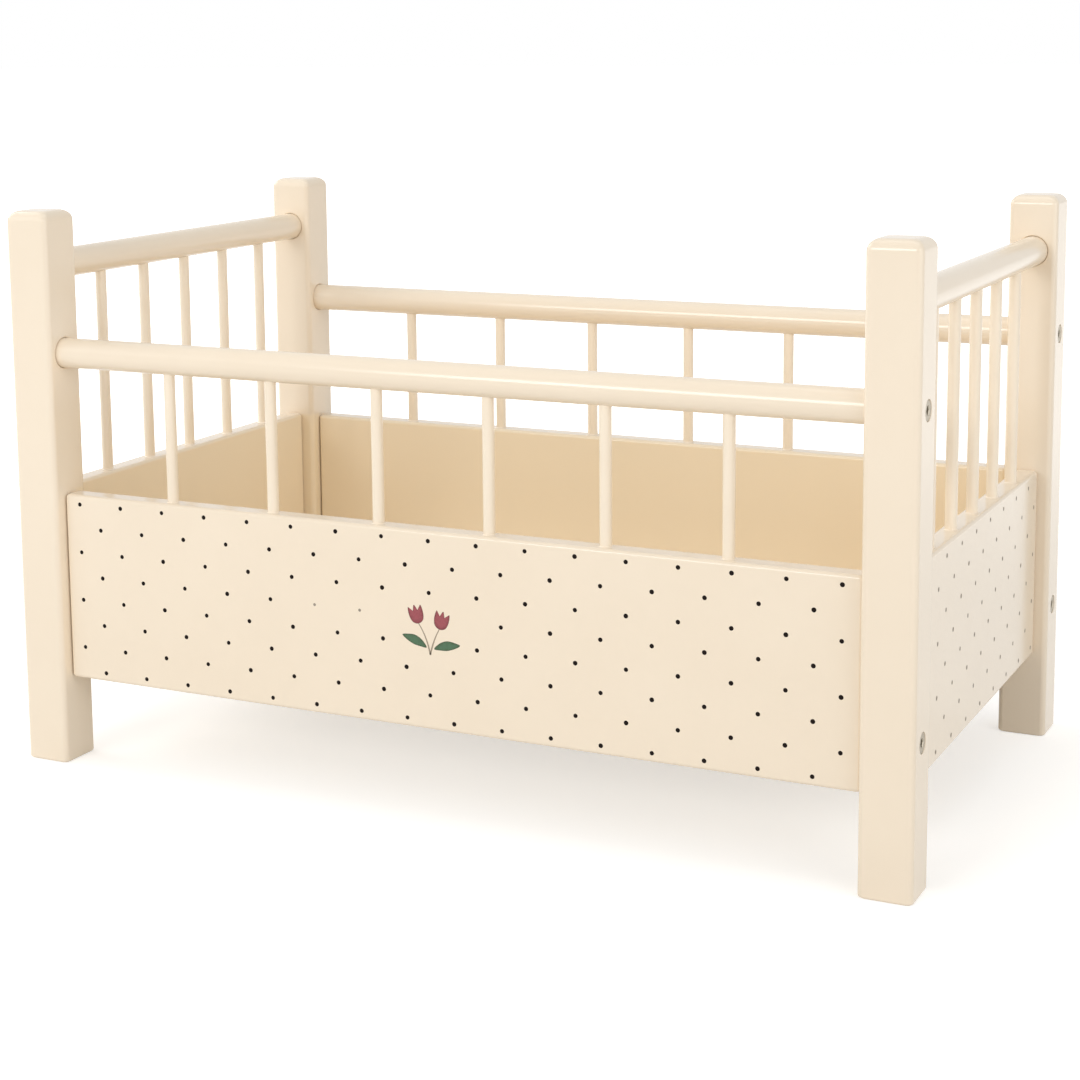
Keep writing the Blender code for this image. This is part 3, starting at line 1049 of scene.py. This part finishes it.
# %% Dots on all four panels
dot_radius = 0.00115
dot_steps = 20
ink_depth = 0.00005
ink_height = 0.00003
row_count = 8
side_top_row = 0.1433
side_row_pitch = 0.01308
side_column_pitch = 0.013175
side_columns = 16
end_top_row = 0.1443
end_row_pitch = 0.0131
end_column_pitch = 0.01385
end_columns = 8
dots_under_picture = {(-1, 3), (0, 4), (1, 3)}
thin_dots = {(-5, 3): 0.62, (-3, 3): 0.66}
thin_dot_share = 0.68
full_ink = 1
# end_ink_painted_glare mixes the end panels' dots paler: painted glare
end_ink_painted_glare = 0.7
size_wobble = 0.04
wobble_turn = 2.4
dot_edge_height = 0.6
dot_top_share = 0.85


def add_dot(mesh, ink_layer, place, ink, radius):
    """One disc of ink on a face, with a soft edge."""
    profile = [(-ink_depth, radius), (ink_height * dot_edge_height, radius), (ink_height, radius * dot_top_share)]
    for ring in add_turned(mesh, profile, place, dot_steps):
        for vert in ring:
            vert[ink_layer] = ink


def outer_point(node, outward):
    """The middle of a panel's outer face."""
    low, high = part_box(node)
    half = (high - low) / 2
    return (low + high) / 2 + Vector([half[i] * outward[i] for i in range(3)])


def print_panel(name, node, axis, outward, grid, left_out=(), thin=()):
    """Staggered rows of dots on a panel's outer face, with some left out and some that took less ink."""
    top_row, row_pitch, column_pitch, columns, stagger, usual_ink = grid
    face = outer_point(node, outward)
    mesh = bmesh.new()
    ink_layer = mesh.verts.layers.float.new("ink")
    count = 0
    for row in range(row_count):
        for column in range(-columns, columns + 1):
            if (column + row + stagger) % 2 or (column, row) in left_out:
                continue
            place = face.copy()
            place[axis] = column * column_pitch
            place.z = top_row - row * row_pitch
            ink = usual_ink
            radius = dot_radius * (1 + size_wobble * math.sin(count * wobble_turn))
            if (column, row) in thin:
                ink = thin[column, row]
                radius *= thin_dot_share
            add_dot(mesh, ink_layer, aim(place, outward), ink, radius)
            count += 1
    make_piece(name, mesh, dot_ink)
    print(name, count, "dots")


side_stagger, end_stagger = 0, 1
side_grid = (side_top_row, side_row_pitch, side_column_pitch, side_columns, side_stagger, full_ink)
end_grid = (end_top_row, end_row_pitch, end_column_pitch, end_columns, end_stagger, end_ink_painted_glare)
print_panel("dots_front", "side_panel_front", 0, -along_y, side_grid, dots_under_picture, thin_dots)
print_panel("dots_rear", "side_panel_rear", 0, along_y, side_grid)
print_panel("dots_left", "end_panel_left", 1, -along_x, end_grid)
print_panel("dots_right", "end_panel_right", 1, along_x, end_grid)

# %% [markdown]
# ## The little picture
# A small sprig is printed in the middle of the front panel: two tulips on thin stems, with a leaf on each side. Each
# shape is a smooth outline drawn through a few points, then stacked in rings that shrink towards its middle. The
# "rim" number falls from 1 at the outline to 0 inside, and the ink uses it to darken the edge.

# %% Helpers for printed shapes
print_rings = ((1, 1), (0.93, 0.7), (0.8, 0.25), (0.55, 0))
print_crown = 0.4
curve_steps = 6
picture_height = 0.0975
picture_middle = Vector((0, outer_point("side_panel_front", -along_y).y, picture_height))


def smooth_loop(points):
    """A closed and smooth curve through the points."""
    curve = []
    count = len(points)
    for here in range(count):
        before, start, end, after = [Vector(points[(here + shift) % count]) for shift in (-1, 0, 1, 2)]
        for step in range(curve_steps):
            t = step / curve_steps
            bend = (2 * before - 5 * start + 4 * end - after) * t * t
            twist = (3 * start - before - 3 * end + after) * t * t * t
            curve.append((2 * start + (end - before) * t + bend + twist) / 2)
    return curve


def on_panel(point, proud):
    """A point of the picture, in metres from its middle, put on the front panel."""
    return picture_middle + Vector((point[0], -proud, point[1]))


def add_shape(mesh, rim_layer, outline):
    """A printed shape that stands a little proud of the paint and is highest in its middle."""
    centre = sum(outline, Vector((0, 0))) / len(outline)
    rings = [[on_panel(point, -ink_depth) for point in outline]]
    rims = [1]
    for share, rim in print_rings:
        proud = ink_height * (1 + print_crown * (1 - share))
        rings.append([on_panel(centre + (point - centre) * share, proud) for point in outline])
        rims.append(rim)
    for ring, rim in zip(skin(mesh, rings), rims):
        for vert in ring:
            vert[rim_layer] = rim


def print_shapes(name, outlines, finish):
    """Several shapes of one colour."""
    mesh = bmesh.new()
    rim_layer = mesh.verts.layers.float.new("rim")
    for outline in outlines:
        add_shape(mesh, rim_layer, outline)
    make_piece(name, mesh, finish)


print("the picture's middle is at", picture_middle[:])

# %% Two tulips, two leaves and their stems
bloom_width = 0.0082
bloom_height = 0.0094
bloom_points = (
    (0, -0.5), (0.36, -0.36), (0.5, 0.02), (0.44, 0.46), (0.2, 0.2), (0, 0.52), (-0.2, 0.2), (-0.44, 0.46),
    (-0.5, 0.02), (-0.36, -0.36),
)
leaf_points = ((0, 0), (0.25, 0.16), (0.55, 0.2), (0.82, 0.1), (1, -0.02), (0.8, -0.1), (0.5, -0.13), (0.22, -0.08))
left_bloom = (bloom_width, bloom_height, 16, (-0.0072, 0.0080))
right_bloom = (bloom_width, bloom_height, -14, (0.0068, 0.0062))
left_leaf = (-0.0145, 0.0145, -22, (-0.0016, -0.0082))
right_leaf = (0.0148, 0.0145, 14, (0.0026, -0.0086))
knot = (0.0004, -0.0118)
left_stem = (knot, (-0.0012, -0.0030), (-0.0060, 0.0036))
right_stem = (knot, (0.0022, -0.0040), (0.0056, 0.0017))
stem_foot_width = 0.0009
stem_tip_width = 0.0005
stem_height_share = 0.8
stem_steps = 8


def placed(points, width, height, lean, origin):
    """An outline drawn at a size, leaning by some degrees, with its own origin at a point of the picture."""
    turn = Matrix.Rotation(math.radians(lean), 2)
    return [turn @ Vector((x * width, y * height)) + Vector(origin) for x, y in points]


def stem(points):
    """The outline of a thin stem along a bent line of three points, narrower at its tip."""
    start, bend, end = [Vector(point) for point in points]
    left, right = [], []
    for step in range(stem_steps + 1):
        t = step / stem_steps
        place = start * (1 - t) ** 2 + bend * 2 * t * (1 - t) + end * t * t
        along = ((bend - start) * (1 - t) + (end - bend) * t).normalized()
        width = stem_foot_width + (stem_tip_width - stem_foot_width) * t
        across = Vector((-along.y, along.x)) * width / 2
        left.append(place + across)
        right.append(place - across)
    return left + right[::-1]


blooms = [smooth_loop(placed(bloom_points, *bloom)) for bloom in (left_bloom, right_bloom)]
leaves = [smooth_loop(placed(leaf_points, *leaf)) for leaf in (left_leaf, right_leaf)]
print_shapes("picture_blooms", blooms, bloom_ink)
print_shapes("picture_leaves", leaves, leaf_ink)

mesh = bmesh.new()
rim_layer = mesh.verts.layers.float.new("rim")
for outline in (stem(left_stem), stem(right_stem)):
    levels = (-ink_depth, ink_height * stem_height_share)
    rings = [[on_panel(point, proud) for point in outline] for proud in levels]
    for ring in skin(mesh, rings):
        for vert in ring:
            vert[rim_layer] = 0
make_piece("picture_stems", mesh, stem_ink)
